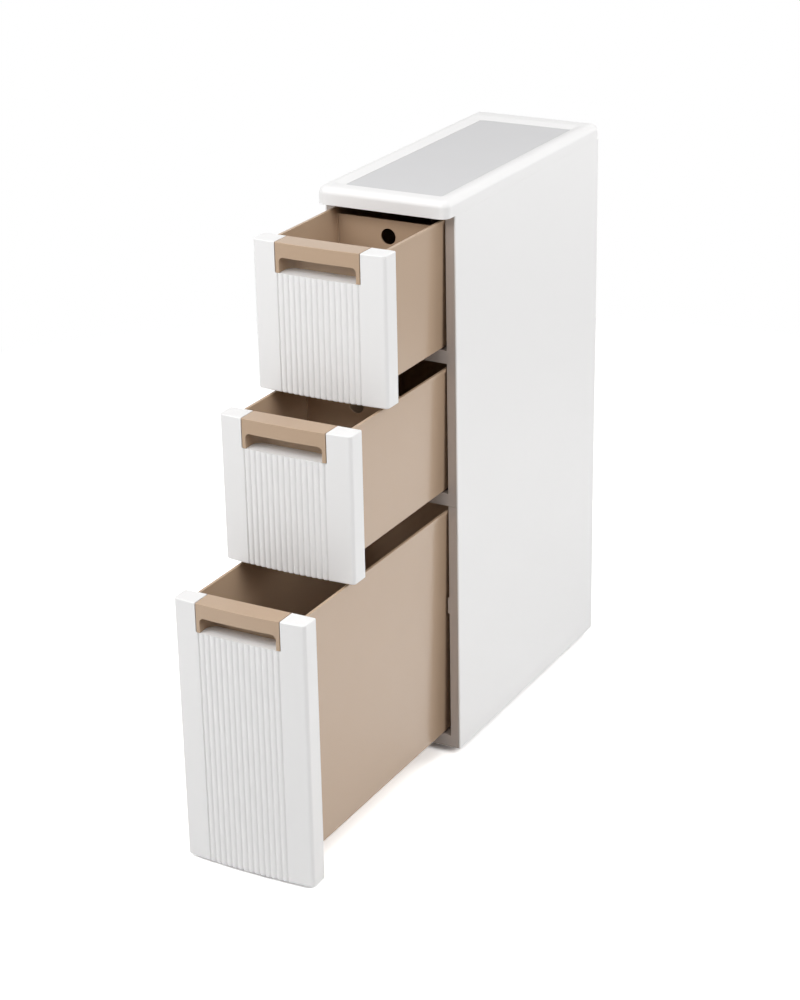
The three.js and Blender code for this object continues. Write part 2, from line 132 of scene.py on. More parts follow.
class TowerBoxSizes(bpy.types.PropertyGroup):
    wall: length("Wall", "Wall of a drawer box", 2.2)
    corner: length("Corner", "Radius of the upright corners", 6)
    foot: length("Foot", "Radius along the foot of the walls", 2)
    lip_reach: length("Lip reach", "Lip beyond the wall", 1.6)
    lip_height: length("Lip height", "Height of the lip", 4)
    draft: FloatProperty(name="Draft", description="Lean of the walls", default=math.radians(1.25),
                         subtype="ANGLE")
    stop_half: length("Stop", "Half the width of the stop tab", 18)
    divider_drop: length("Divider drop", "Top of the divider below the rim", 8.1)
    rib: length("Slot rib", "Width and reach of a rib beside the divider", 1.5)
    hole: length("Hole", "Radius of the divider's hole", 10)
    hole_drop: length("Hole drop", "Centre of the hole below the top of the divider", 20.8)


class TowerCabinetSizes(bpy.types.PropertyGroup):
    stile_gap: length("Stile gap", "Stile to the drawer's lip", 1.5)
    lift: length("Lift", "Drawer box above its rail", 2)
    head_gap: length("Head gap", "Drawer front to the rail above", 4.2)
    edge: length("Edge", "Radius of the edges of panels and frames", 0.5)
    panel_edge: length("Panel edge", "Radius of a panel's outer front edge", 1.0)
    panel_ease: length("Panel ease", "Radius of a panel's upper and lower edges", 0.08)
    ledge: length("Ledge", "Height of the ledges under the shelves", 2)
    panel_wall: length("Panel wall", "Wall of a side panel", 2)
    guide_reach: length("Guide reach", "Guide block past its stile", 2.2)
    guide_height: length("Guide height", "Height of the guide block", 22)
    guide_centre: length("Guide centre", "Guide block above the foot of the frame", 204)
    cover_wall: length("Cover wall", "Wall of the cover", 2.5)
    cover_corner: length("Cover corner", "Radius of the cover's front corners in plan", 12)
    cover_rear: length("Cover rear corner", "Radius of the cover's rear corners in plan", 4)
    cover_edge: length("Cover edge", "Radius of the cover's upper edge", 9.5)
    cover_foot: length("Cover foot", "Radius of the cover's lower edge", 0.15)
    cover_seam: length("Cover seam", "Gap that shows between the cover and a panel", 0.04)
    recess_depth: length("Recess depth", "Depth of the recess in the cover", 5.5)
    recess_corner: length("Recess corner", "Radius of the recess's corners", 4)
    slope_run: length("Slope", "Slope from the mat up to the crest of the rim", 12.5)
    crest_corner: length("Crest corner", "Radius of the crest's corners", 8)
    hold_down: length("Hold-down rib", "Wall of the ribs over the drawers' rims", 2.5)


class TowerColours(bpy.types.PropertyGroup):
    white: colour("White", "Panels, cover and fronts", (0.852, 0.846, 0.842))
    taupe: colour("Taupe", "Frames, shelves and base", (0.492, 0.432, 0.396))
    tan: colour("Tan", "Drawer boxes, dividers and grips", (0.496, 0.356, 0.245))
    mat: colour("Mat", "Inlaid sheet on top", (0.625, 0.622, 0.629))
    roller: colour("Roller", "Rollers", (0.085, 0.087, 0.095))
    steel: colour("Steel", "Axles", (0.560, 0.565, 0.575))


class TowerStage(bpy.types.PropertyGroup):
    ceiling: amount("Ceiling", "Light from the studio's ceiling", 0.45)
    front_low: amount("Front low", "Power of the low lamp in front on the left, in watts", 13)
    front_high: amount("Front high", "Power of the high lamp in front, in watts", 23)
    left_high: amount("Left high", "Power of the high lamp in front on the left, in watts", 20)
    right_side: amount("Right side", "Power of the lamp on the right, in watts", 33.5)
    rear_low: amount("Rear low", "Power of the low lamp behind on the right, in watts", 17)
    rear_high: amount("Rear high", "Power of the high lamp behind, in watts", 11)
    floor_tone: amount("Floor tone", "How pale the floor is", 0.45)
    floor_shown: amount("Floor shown", "How pale the camera sees the floor", 2.2)


# Outlines and solids

def rounded_rectangle(x0, x1, y0, y1, radius, steps=6, far=None):
    """Anticlockwise points of a rectangle with round corners; far is the radius of the two at y1."""
    far = radius if far is None else far
    corners = ((x1 - radius, y0 + radius, radius, -90), (x1 - far, y1 - far, far, 0),
               (x0 + far, y1 - far, far, 90), (x0 + radius, y0 + radius, radius, 180))
    points = []
    for x, y, size, start in corners:
        for i in range(steps + 1):
            angle = math.radians(start + 90 * i / steps)
            points.append((x + size * math.cos(angle), y + size * math.sin(angle)))
    return points


def ring(points, z):
    return [(x, y, z) for x, y in points]


def quarter(steps):
    """Pairs (inset, rise) of a quarter circle of radius 1, from fully inset to fully risen."""
    angles = [math.pi / 2 * i / steps for i in range(steps + 1)]
    return [(1 - math.sin(angle), 1 - math.cos(angle)) for angle in angles]


def solid(name, rings):
    """Object with quads between rings of equally many points and a cap on the first and the last."""
    bm = bmesh.new()
    levels = [[bm.verts.new(point) for point in points] for points in rings]
    for low, high in zip(levels, levels[1:]):
        for i, vert in enumerate(low):
            j = (i + 1) % len(low)
            bm.faces.new((vert, low[j], high[j], high[i]))
    bm.faces.new(list(reversed(levels[0])))
    bm.faces.new(levels[-1])
    return to_object(bm, name)


def to_object(bm, name):
    bmesh.ops.recalc_face_normals(bm, faces=bm.faces)
    mesh = bpy.data.meshes.new(name)
    bm.to_mesh(mesh)
    bm.free()
    piece = bpy.data.objects.new(name, mesh)
    bpy.context.scene.collection.objects.link(piece)
    return piece


def block(name, low, high, edge=0.0):
    """Box between two corners with its edges rounded."""
    bm = bmesh.new()
    bmesh.ops.create_cube(bm, size=1)
    for vert in bm.verts:
        vert.co = Vector(low[i] if vert.co[i] < 0 else high[i] for i in range(3))
    if edge > 0:
        bmesh.ops.bevel(bm, geom=bm.edges[:], offset=edge, segments=2, profile=0.5, affect="EDGES")
    return to_object(bm, name)


def prism_x(name, profile, x0, x1):
    """Solid whose outline in (y, z) runs from x0 to x1."""
    return solid(name, [[(x, y, z) for y, z in profile] for x in (x0, x1)])


def prism_y(name, profile, y0, y1):
    """Solid whose outline in (x, z) runs from y0 to y1."""
    return solid(name, [[(x, y, z) for x, z in profile] for y in (y0, y1)])


def bake(piece):
    """Applies the modifiers on a piece."""
    bpy.context.view_layer.update()
    graph = bpy.context.evaluated_depsgraph_get()
    mesh = bpy.data.meshes.new_from_object(piece.evaluated_get(graph))
    piece.modifiers.clear()
    piece.data = mesh


def carve(piece, *cutters):
    """Cuts closed solids away from a piece."""
    for cutter in cutters:
        modifier = piece.modifiers.new("cut", "BOOLEAN")
        modifier.operation = "DIFFERENCE"
        modifier.solver = "EXACT"
        modifier.object = cutter
    bake(piece)
    for cutter in cutters:
        bpy.data.objects.remove(cutter)


def ease(piece, width):
    """Rounds every edge that turns by more than a set angle."""
    modifier = piece.modifiers.new("edges", "BEVEL")
    modifier.width = width
    modifier.segments = 2
    modifier.limit_method = "ANGLE"
    modifier.angle_limit = EASED_FROM
    modifier.use_clamp_overlap = True
    bake(piece)


def gather(name, *pieces):
    """Joins pieces into one object, each still a closed body of its own."""
    bm = bmesh.new()
    for piece in pieces:
        bm.from_mesh(piece.data)
        bpy.data.objects.remove(piece)
    return to_object(bm, name)


def dress(piece, slot, body, *nodes):
    """Shades a piece, gives it its finish and lets it stand for its nodes."""
    piece.data.materials.clear()
    piece.data.materials.append(finish(slot))
    piece.data.shade_smooth()
    piece.data.set_sharp_from_angle(angle=SHARP_FROM)
    weighted = piece.modifiers.new("shading", "WEIGHTED_NORMAL")
    weighted.keep_sharp = True
    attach(piece, body)
    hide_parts(*nodes)
    return piece


# Finishes

def new_group(name, inputs, outputs):
    """Empty node group whose sockets are pairs of name and default."""
    group = bpy.data.node_groups.new(name, "ShaderNodeTree")
    for label, default in inputs:
        socket = group.interface.new_socket(label, in_out="INPUT", socket_type="NodeSocketFloat")
        socket.default_value = default
    for label in outputs:
        group.interface.new_socket(label, in_out="OUTPUT", socket_type="NodeSocketFloat")
    return group, group.nodes.new("NodeGroupInput"), group.nodes.new("NodeGroupOutput")


def add_noise(tree, vector, scale):
    node = tree.nodes.new("ShaderNodeTexNoise")
    node.inputs["Scale"].default_value = scale
    node.inputs["Detail"].default_value = 2
    tree.links.new(vector, node.inputs["Vector"])
    return node.outputs["Fac"]


def remap(tree, value, low, high, to_low, to_high):
    node = tree.nodes.new("ShaderNodeMapRange")
    for label, number in (("From Min", low), ("From Max", high), ("To Min", to_low), ("To Max", to_high)):
        node.inputs[label].default_value = number
    tree.links.new(value, node.inputs["Value"])
    return node.outputs["Result"]


def calculate(tree, operation, first, second):
    node = tree.nodes.new("ShaderNodeMath")
    node.operation = operation
    for socket, value in zip(node.inputs, (first, second)):
        if isinstance(value, (int, float)):
            socket.default_value = value
        else:
            tree.links.new(value, socket)
    return node.outputs[0]


def moulding_group():
    """Skin of moulded plastic: fine spark texture over slow flow, and faint smudges from handling."""
    group, entry, leave = new_group(
        "moulding", (("Grain Share", 0.5), ("Flow Share", 0.5)), ("Height", "Flow", "Smudge"))
    place = group.nodes.new("ShaderNodeTexCoord").outputs["Object"]
    spark = add_noise(group, place, scale=1400)
    flow = add_noise(group, place, scale=9)
    patches = add_noise(group, place, scale=24)
    smudge = remap(group, patches, 0.3, 0.8, 0, 1)
    grain = calculate(group, "MULTIPLY", spark, entry.outputs["Grain Share"])
    swell = calculate(group, "MULTIPLY", flow, entry.outputs["Flow Share"])
    height = calculate(group, "ADD", grain, swell)
    for value, label in ((height, "Height"), (flow, "Flow"), (smudge, "Smudge")):
        group.links.new(value, leave.inputs[label])
    return group


def sheet_group():
    """Fine cross-hatched print of a laminated sheet."""
    group, entry, leave = new_group("sheet", (("Pitch", 900.0),), ("Height",))
    place = group.nodes.new("ShaderNodeTexCoord").outputs["Object"]
    split = group.nodes.new("ShaderNodeSeparateXYZ")
    group.links.new(place, split.inputs[0])
    waves = []
    for axis in ("X", "Y"):
        turned = calculate(group, "MULTIPLY", split.outputs[axis], entry.outputs["Pitch"])
        waves.append(calculate(group, "SINE", turned, 0.0))
    group.links.new(calculate(group, "MULTIPLY", *waves), leave.inputs["Height"])
    return group


def plastic(name, base, roughness, grain, flow, bump, tone, specular=0.5):
    """Moulded plastic: a colour that drifts by its tone, roughness with smudges and a fine bump."""
    material = bpy.data.materials.new(name)
    material.use_nodes = True
    tree = material.node_tree
    shader = tree.nodes["Principled BSDF"]
    skin = tree.nodes.new("ShaderNodeGroup")
    skin.node_tree = bpy.data.node_groups["moulding"]
    skin.inputs["Grain Share"].default_value = grain
    skin.inputs["Flow Share"].default_value = flow
    mix = tree.nodes.new("ShaderNodeMix")
    mix.data_type = "RGBA"
    mix.inputs["A"].default_value = (*[min(1.0, part * (1 + tone)) for part in base], 1)
    mix.inputs["B"].default_value = (*[part * (1 - tone) for part in base], 1)
    tree.links.new(skin.outputs["Flow"], mix.inputs["Factor"])
    tree.links.new(mix.outputs["Result"], shader.inputs["Base Color"])
    rough = remap(tree, skin.outputs["Smudge"], 0, 1, roughness, roughness + SMUDGE)
    tree.links.new(rough, shader.inputs["Roughness"])
    relief = tree.nodes.new("ShaderNodeBump")
    relief.inputs["Strength"].default_value = RELIEF
    relief.inputs["Distance"].default_value = bump
    tree.links.new(skin.outputs["Height"], relief.inputs["Height"])
    tree.links.new(relief.outputs["Normal"], shader.inputs["Normal"])
    shader.inputs["Specular IOR Level"].default_value = specular
    return material


def mat_finish(name, base):
    """Pale sheet with a fine even print."""
    material = plastic(name, base, roughness=0.5, grain=0.2, flow=0.3, bump=0.02 * MM, tone=0.015)
    tree = material.node_tree
    print_node = tree.nodes.new("ShaderNodeGroup")
    print_node.node_tree = bpy.data.node_groups["sheet"]
    relief = tree.nodes["Bump"]
    skin = relief.inputs["Height"].links[0].from_socket
    share = 0.4
    printed = calculate(tree, "MULTIPLY", print_node.outputs["Height"], share)
    tree.links.new(calculate(tree, "ADD", skin, printed), relief.inputs["Height"])
    return material


def steel_finish(name, base):
    """Drawn steel pin, with scratches along its length."""
    material = bpy.data.materials.new(name)
    material.use_nodes = True
    tree = material.node_tree
    shader = tree.nodes["Principled BSDF"]
    shader.inputs["Base Color"].default_value = (*base, 1)
    shader.inputs["Metallic"].default_value = 1
    place = tree.nodes.new("ShaderNodeTexCoord").outputs["Object"]
    stretch = tree.nodes.new("ShaderNodeMapping")
    along, across = 40, 2500
    stretch.inputs["Scale"].default_value = (along, across, across)
    tree.links.new(place, stretch.inputs["Vector"])
    lines = add_noise(tree, stretch.outputs["Vector"], scale=1)
    bright, scratched = 0.24, 0.42
    tree.links.new(remap(tree, lines, 0, 1, bright, scratched), shader.inputs["Roughness"])
    return material


def finish(slot):
    """The material of a slot, made with its neighbours on first use."""
    name = f"finished_{slot}"
    if name not in bpy.data.materials:
        tones = bpy.context.scene.tower_colours
        moulding_group()
        sheet_group()
        plastic("finished_white_plastic", tones.white,
                roughness=0.42, grain=0.35, flow=0.5, bump=0.04 * MM, tone=0.006)
        plastic("finished_taupe_plastic", tones.taupe,
                roughness=0.5, grain=0.6, flow=0.4, bump=0.05 * MM, tone=0.02)
        plastic("finished_tan_plastic", tones.tan,
                roughness=0.2, grain=0.12, flow=0.9, bump=0.05 * MM, tone=0.02, specular=0.3)
        mat_finish("finished_pale_grey_mat", tones.mat)
        plastic("finished_roller_plastic", tones.roller,
                roughness=0.55, grain=0.8, flow=0.3, bump=0.06 * MM, tone=0.05)
        steel_finish("finished_axle_steel", tones.steel)
    return bpy.data.materials[name]


# Drawer fronts

class Front:
    """Places of one drawer front, from its CAD nodes."""

    def __init__(self, drawer):
        sizes = bpy.context.scene.tower_front
        grip = bpy.context.scene.tower_grip
        low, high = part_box(f"drawer_{drawer}_front")
        box_low, box_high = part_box(f"drawer_{drawer}_box")
        self.half = high.x
        self.face = low.y
        self.back = high.y
        self.bottom = low.z
        self.top = high.z
        self.slot_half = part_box(f"drawer_{drawer}_grip")[1].x + grip.gap
        self.ledge = self.top - sizes.slot_depth
        self.slot_face = self.bow(self.slot_half)
        self.seat = box_low.y - CLEARANCE
        self.seat_half = box_high.x + CLEARANCE
        self.seat_low = box_low.z - CLEARANCE

    def bow(self, x):
        return self.face + bpy.context.scene.tower_front.bow * (x / self.half) ** 2


def front_outline(front, sizes):
    """Plan of a front from its left rear corner round the face, as (x, y, way out in x, way out in y)."""
    turn = front.half - sizes.corner
    slope = math.atan(2 * sizes.bow * turn / front.half ** 2)
    join = turn + sizes.corner * math.sin(slope)
    centre = front.bow(join) + sizes.corner * math.cos(slope)
    corner = []
    for i in range(9):
        angle = (math.pi / 2 - slope) * i / 8
        corner.append((turn + sizes.corner * math.cos(angle), centre - sizes.corner * math.sin(angle),
                       math.cos(angle), -math.sin(angle)))
    first = front.slot_half - sizes.rib_margin
    start = first + sizes.groove / 2
    band = [join + (start - join) * i / 10 for i in range(1, 11)]
    right = [(front.half, front.back, 1, 0), *corner, *[(x, front.bow(x), 0, -1) for x in band]]

    pitch = 2 * first / sizes.ribs
    field = []
    for i in range(sizes.ribs):
        groove = -first + i * pitch
        field.append((groove, front.bow(groove) + sizes.groove_depth, 0, -1))
        middle = groove + pitch / 2
        reach = (pitch - sizes.groove) / 2
        for j in range(9):
            angle = math.pi * (1 - j / 8)
            x = middle + reach * math.cos(angle)
            field.append((x, front.bow(x) + sizes.rib_crown * (1 - math.sin(angle)), 0, -1))
    field.append((first, front.bow(first) + sizes.groove_depth, 0, -1))
    left = [(-x, y, -out_x, out_y) for x, y, out_x, out_y in right]
    return [*left, *field, *reversed(right)]


def eased_prism(name, outline, low, high, low_edge, high_edge):
    """Prism up z whose outline is drawn in along its own ways out at both ends."""
    rings = []
    for inset, rise in quarter(4):
        rings.append((inset * low_edge, low + rise * low_edge))
    for inset, rise in reversed(quarter(4)):
        rings.append((inset * high_edge, high - rise * high_edge))
    return solid(name, [[(x - out_x * inset, y - out_y * inset, z) for x, y, out_x, out_y in outline]
                        for inset, z in rings])


def round_slot_edges(piece, front, width):
    """Rounds the edges where the slot for the grip cuts the face and the top."""
    bm = bmesh.new()
    bm.from_mesh(piece.data)
    near = 0.02 * MM
    beside, ledge = [], []
    for edge in bm.edges:
        ends = [vert.co for vert in edge.verts]
        if edge.calc_face_angle(0) < math.radians(30):
            continue
        if all(abs(abs(p.x) - front.slot_half) < near and p.z > front.ledge + near for p in ends):
            beside.append(edge)
        elif all(abs(p.z - front.ledge) < near and abs(p.x) < front.slot_half - near for p in ends):
            if all(p.y < front.slot_face - near for p in ends):
                ledge.append(edge)
    bmesh.ops.bevel(bm, geom=beside + ledge, offset=width, segments=2, profile=0.5, affect="EDGES",
                    clamp_overlap=True)
    bm.to_mesh(piece.data)
    bm.free()


def drawer_front(drawer):
    """Bowed, ribbed front with its slot for the grip, its seat for the box and two hollow bays."""
    sizes = bpy.context.scene.tower_front
    scoop = bpy.context.scene.tower_grip.scoop_depth
    front = Front(drawer)
    piece = eased_prism(f"{drawer}_front", front_outline(front, sizes), front.bottom, front.top,
                        sizes.edge, sizes.edge)
    rear_ledge = front.ledge + sizes.ledge_rise
    slot = prism_x("slot", [(front.face - PAST, front.ledge), (front.slot_face, front.ledge),
                            (front.slot_face + scoop, rear_ledge), (front.back + PAST, rear_ledge),
                            (front.back + PAST, front.top + PAST), (front.face - PAST, front.top + PAST)],
                   -front.slot_half, front.slot_half)
    seat = block("seat", (-front.seat_half, front.seat, front.seat_low),
                 (front.seat_half, front.back + PAST, front.top - sizes.wall))
    bays = []
    for side in (-1, 1):
        inner, outer = sorted((side * (front.slot_half + sizes.slot_post), side * (front.half - sizes.wall)))
        bays.append(block("bay", (inner, front.bow(front.half) + sizes.wall, front.bottom + sizes.wall),
                          (outer, front.back + PAST, front.top - sizes.wall)))
    carve(piece, slot, seat, *bays)
    round_slot_edges(piece, front, sizes.slot_edge)
    return dress(piece, "white_plastic", f"{drawer}_drawer", f"drawer_{drawer}_front")


# Grips

def scoop_outline(front, grip, finger_half):
    """Plan of the finger scoop: along the inner side of the bar and round its rear corners."""
    rear = front.slot_face + grip.scoop_depth
    inner = [(x, front.bow(x) + grip.wall) for x in
             [finger_half * (2 * i / 16 - 1) for i in range(17)]]
    corner = []
    for i in range(9):
        angle = math.pi / 2 * i / 8
        corner.append((finger_half - grip.scoop_radius * (1 - math.cos(angle)),
                       rear - grip.scoop_radius * (1 - math.sin(angle))))
    return [*inner, *corner, *[(-x, y) for x, y in reversed(corner)]]


def drawer_grip(drawer):
    """Grip with a finger opening in its bar and a scoop behind it."""
    sizes = bpy.context.scene.tower_front
    grip = bpy.context.scene.tower_grip
    front = Front(drawer)
    half = front.slot_half - grip.gap
    finger_half = half - grip.leg
    low = front.ledge - PAST
    face = [(x, front.bow(x), 0, -1) for x in [half * (2 * i / 24 - 1) for i in range(25)]]
    outline = [(-half, front.back, 0, 0), *face, (half, front.back, 0, 0)]
    hardly_eased = 0.0001 * MM
    piece = eased_prism(f"{drawer}_grip", outline, low, front.top, hardly_eased, grip.edge)
    floor = front.ledge + CLEARANCE
    rear_floor = floor + sizes.ledge_rise
    under = prism_x("under", [(front.face - PAST, low - PAST), (front.back + PAST, low - PAST),
                              (front.back + PAST, rear_floor),
                              (front.slot_face + grip.scoop_depth, rear_floor),
                              (front.slot_face, floor), (front.face - PAST, floor)],
                    -half - PAST, half + PAST)
    outline = scoop_outline(front, grip, finger_half)
    scoop = solid("scoop", [ring(outline, low - PAST), ring(outline, front.top - grip.wall)])
    bar = front.top - grip.bar
    arch = [(-finger_half, low - PAST), (finger_half, low - PAST)]
    for start, side in ((0, 1), (90, -1)):
        for i in range(7):
            angle = math.radians(start + 15 * i)
            arch.append((side * (finger_half - grip.finger_radius) + grip.finger_radius * math.cos(angle),
                         bar - grip.finger_radius + grip.finger_radius * math.sin(angle)))
    opening = prism_y("opening", arch, front.face - PAST, front.slot_face + grip.wall + PAST)
    seat = block("seat", (-half - PAST, front.seat, low - PAST),
                 (half + PAST, front.back + PAST, front.top - grip.wall))
    carve(piece, under, scoop, opening, seat)
    ease(piece, GRIP_EDGE)
    return dress(piece, "tan_plastic", f"{drawer}_drawer", f"drawer_{drawer}_grip")


# Drawer boxes and dividers

class Tray:
    """Places of one drawer box, from its CAD nodes."""

    def __init__(self, drawer):
        sizes = bpy.context.scene.tower_box
        low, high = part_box(f"drawer_{drawer}_box")
        self.sizes = sizes
        self.front = low.y
        self.rear = high.y - sizes.lip_reach
        self.lip_half = high.x
        self.floor = low.z
        front_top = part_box(f"drawer_{drawer}_front")[1].z
        self.rim = front_top - bpy.context.scene.tower_front.wall - CLEARANCE
        self.stop_top = high.z

    def half(self, z):
        return self.lip_half - self.sizes.lip_reach - math.tan(self.sizes.draft) * (self.rim - z)

    def wall_ring(self, z, inset):
        lean = math.tan(self.sizes.draft) * (self.rim - z)
        half = self.half(z) - inset
        radius = max(self.sizes.corner - inset, SOFT)
        return ring(rounded_rectangle(-half, half, self.front + inset, self.rear - lean - inset, radius), z)

    def lip_ring(self, z, inset):
        half = self.lip_half - inset
        rear = self.rear + self.sizes.lip_reach - inset
        return ring(rounded_rectangle(-half, half, self.front + inset, rear, self.sizes.corner - inset), z)


def drawer_box(drawer):
    """Leaning tray with a lip, its stop tab and the slots of its divider."""
    tray = Tray(drawer)
    sizes = tray.sizes
    soft = 0.6 * MM
    stop_foot = tray.rim - sizes.lip_height
    floor = tray.floor + sizes.wall
    rings = [tray.wall_ring(tray.floor + rise * sizes.foot, inset * sizes.foot) for inset, rise in quarter(4)]
    rings += [tray.wall_ring(stop_foot, 0), tray.lip_ring(stop_foot, 0)]
    rings += [tray.lip_ring(tray.rim - rise * soft, inset * soft) for inset, rise in reversed(quarter(3))]
    rings += [tray.wall_ring(tray.rim - rise * soft, sizes.wall - inset * soft) for inset, rise in quarter(3)]
    rings += [tray.wall_ring(floor + rise * sizes.foot, sizes.wall + inset * sizes.foot)
              for inset, rise in reversed(quarter(4))]
    shell = solid("shell", rings)
    stop = block("stop", (-sizes.stop_half, tray.rear - sizes.wall, stop_foot),
                 (sizes.stop_half, tray.rear + sizes.lip_reach, tray.stop_top), SOFT)
    parts = [shell, stop]
    if drawer in DIVIDED:
        low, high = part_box(f"drawer_{drawer}_divider")
        top = tray.rim - sizes.divider_drop
        for y0 in (low.y - CLEARANCE - sizes.rib, high.y + CLEARANCE):
            for side in (-1, 1):
                rings = []
                for z in (floor, top):
                    wall = tray.half(z) - sizes.wall
                    xs = sorted((side * (wall - sizes.rib), side * (wall + sizes.wall / 2)))
                    rings.append([(xs[0], y0, z), (xs[1], y0, z), (xs[1], y0 + sizes.rib, z),
                                  (xs[0], y0 + sizes.rib, z)])
                parts.append(solid("slot_rib", rings))
    piece = gather(f"{drawer}_box", *parts)
    return dress(piece, "tan_plastic", f"{drawer}_drawer", f"drawer_{drawer}_box")


def drawer_divider(drawer):
    """Cross plate with a finger hole."""
    tray = Tray(drawer)
    sizes = tray.sizes
    low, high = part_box(f"drawer_{drawer}_divider")
    narrow = tray.half(low.z) - sizes.wall - CLEARANCE
    wide = tray.half(high.z) - sizes.wall - CLEARANCE
    piece = prism_y(f"{drawer}_divider", [(-narrow, low.z), (narrow, low.z), (wide, high.z), (-wide, high.z)],
                    low.y, high.y)
    centre = high.z - sizes.hole_drop
    steps = 64
    circle = [(sizes.hole * math.cos(math.tau * i / steps),
               centre + sizes.hole * math.sin(math.tau * i / steps)) for i in range(steps)]
    carve(piece, prism_y("hole", circle, low.y - MM, high.y + MM))
    ease(piece, DIVIDER_EDGE)
    return dress(piece, "tan_plastic", f"{drawer}_drawer", f"drawer_{drawer}_divider")


# Cabinet

def ease_in(part):
    """Share of a straight slope's drop, level at its upper end over the first fifth of the run."""
    bend = 0.2
    share = part - bend / 2 if part > bend else part * part / (2 * bend)
    return share / (1 - bend / 2)


def cover():
    """Cover with a round edge, a rim that slopes down to the mat, and ribs over the top drawer."""
    sizes = bpy.context.scene.tower_cabinet
    low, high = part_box("top_cover")
    panel_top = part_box("side_panel_right")[1].z
    bottom = panel_top + sizes.cover_seam
    mat_low, mat_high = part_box("top_mat")

    def outer(inset, z):
        near, far = (max(corner - inset, SOFT) for corner in (sizes.cover_corner, sizes.cover_rear))
        return ring(rounded_rectangle(low.x + inset, high.x - inset, low.y + inset, high.y - inset,
                                      near, 10, far), z)

    def recess(outset, radius, z):
        grow = CLEARANCE + outset
        return ring(rounded_rectangle(mat_low.x - grow, mat_high.x + grow,
                                      mat_low.y - grow, mat_high.y + grow, radius, 10), z)

    ceiling = high.z - sizes.recess_depth - sizes.cover_wall
    rings = [outer(sizes.cover_wall, ceiling), outer(sizes.cover_wall, bottom)]
    rings += [outer(inset * sizes.cover_foot, bottom + rise * sizes.cover_foot) for inset, rise in quarter(3)]
    rings += [outer(inset * sizes.cover_edge, high.z - rise * sizes.cover_edge)
              for inset, rise in reversed(quarter(12))]
    drop = high.z - mat_high.z
    for part in (0, 0.03, 0.07, 0.12, 0.2, 0.88, 0.95, 1):
        rings.append(recess((1 - part) * sizes.slope_run,
                            sizes.crest_corner + (sizes.recess_corner - sizes.crest_corner) * part,
                            high.z - drop * ease_in(part)))
    rings.append(recess(0, sizes.recess_corner, high.z - sizes.recess_depth))
    shell = solid("shell", rings)
    parts = [shell]
    tray = bpy.context.scene.tower_box
    rib_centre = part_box("drawer_top_box")[1].x - tray.lip_reach - tray.wall
    shelf_low, shelf_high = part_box("shelf_upper")
    behind_rib = 27 * MM
    for side in (-1, 1):
        xs = sorted((side * (rib_centre - sizes.hold_down / 2), side * (rib_centre + sizes.hold_down / 2)))
        parts.append(block("rib", (xs[0], shelf_low.y, low.z),
                           (xs[1], shelf_high.y - behind_rib, ceiling + MM), RIB_EDGE))
    piece = gather("cover", *parts)
    return dress(piece, "white_plastic", "cabinet", "top_cover")


def mat():
    """Thin sheet laid in the cover."""
    sizes = bpy.context.scene.tower_cabinet
    low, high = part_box("top_mat")
    soft = 0.3 * MM
    rings = [(inset * soft, low.z + rise * soft) for inset, rise in quarter(2)]
    rings += [(inset * soft, high.z - rise * soft) for inset, rise in reversed(quarter(2))]
    piece = solid("mat", [ring(rounded_rectangle(low.x + inset, high.x - inset, low.y + inset, high.y - inset,
                                                 sizes.recess_corner - CLEARANCE - inset, 10), z)
                          for inset, z in rings])
    return dress(piece, "pale_grey_mat", "cabinet", "top_mat")


def side_panel(hand, side):
    """Plain wall with a ledge under each shelf; side is -1 on the left and 1 on the right."""
    sizes = bpy.context.scene.tower_cabinet
    low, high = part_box(f"side_panel_{hand}")
    outer = side * max(abs(low.x), abs(high.x))
    inner = outer - side * sizes.panel_wall
    curve = [(outer - side * sizes.panel_edge * inset, low.y + sizes.panel_edge * rise)
             for inset, rise in quarter(4)]
    outline = [(inner, low.y), *curve, (outer, high.y), (inner, high.y)]
    if side < 0:
        outline.reverse()
    wall = solid("wall", [ring(outline, z) for z in (low.z, high.z)])
    parts = [wall]
    xs = sorted((side * min(abs(low.x), abs(high.x)), inner + side * MM))
    for shelf, rail_foot in (("shelf_lower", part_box("front_frame_upper")[0].z - SEAM),
                             ("shelf_upper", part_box("drawer_middle_front")[1].z + sizes.head_gap)):
        shelf_low, shelf_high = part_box(shelf)
        top = rail_foot - CLEARANCE
        parts.append(block("ledge", (xs[0], shelf_low.y, top - sizes.ledge),
                           (xs[1], shelf_high.y, top), RIB_EDGE))
    ease(wall, sizes.panel_ease)
    piece = gather(f"{hand}_panel", *parts)
    return dress(piece, "white_plastic", "cabinet", f"side_panel_{hand}")


def back_panel():
    sizes = bpy.context.scene.tower_cabinet
    low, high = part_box("back_panel")
    piece = block("back", low, high, sizes.edge)
    return dress(piece, "white_plastic", "cabinet", "back_panel")


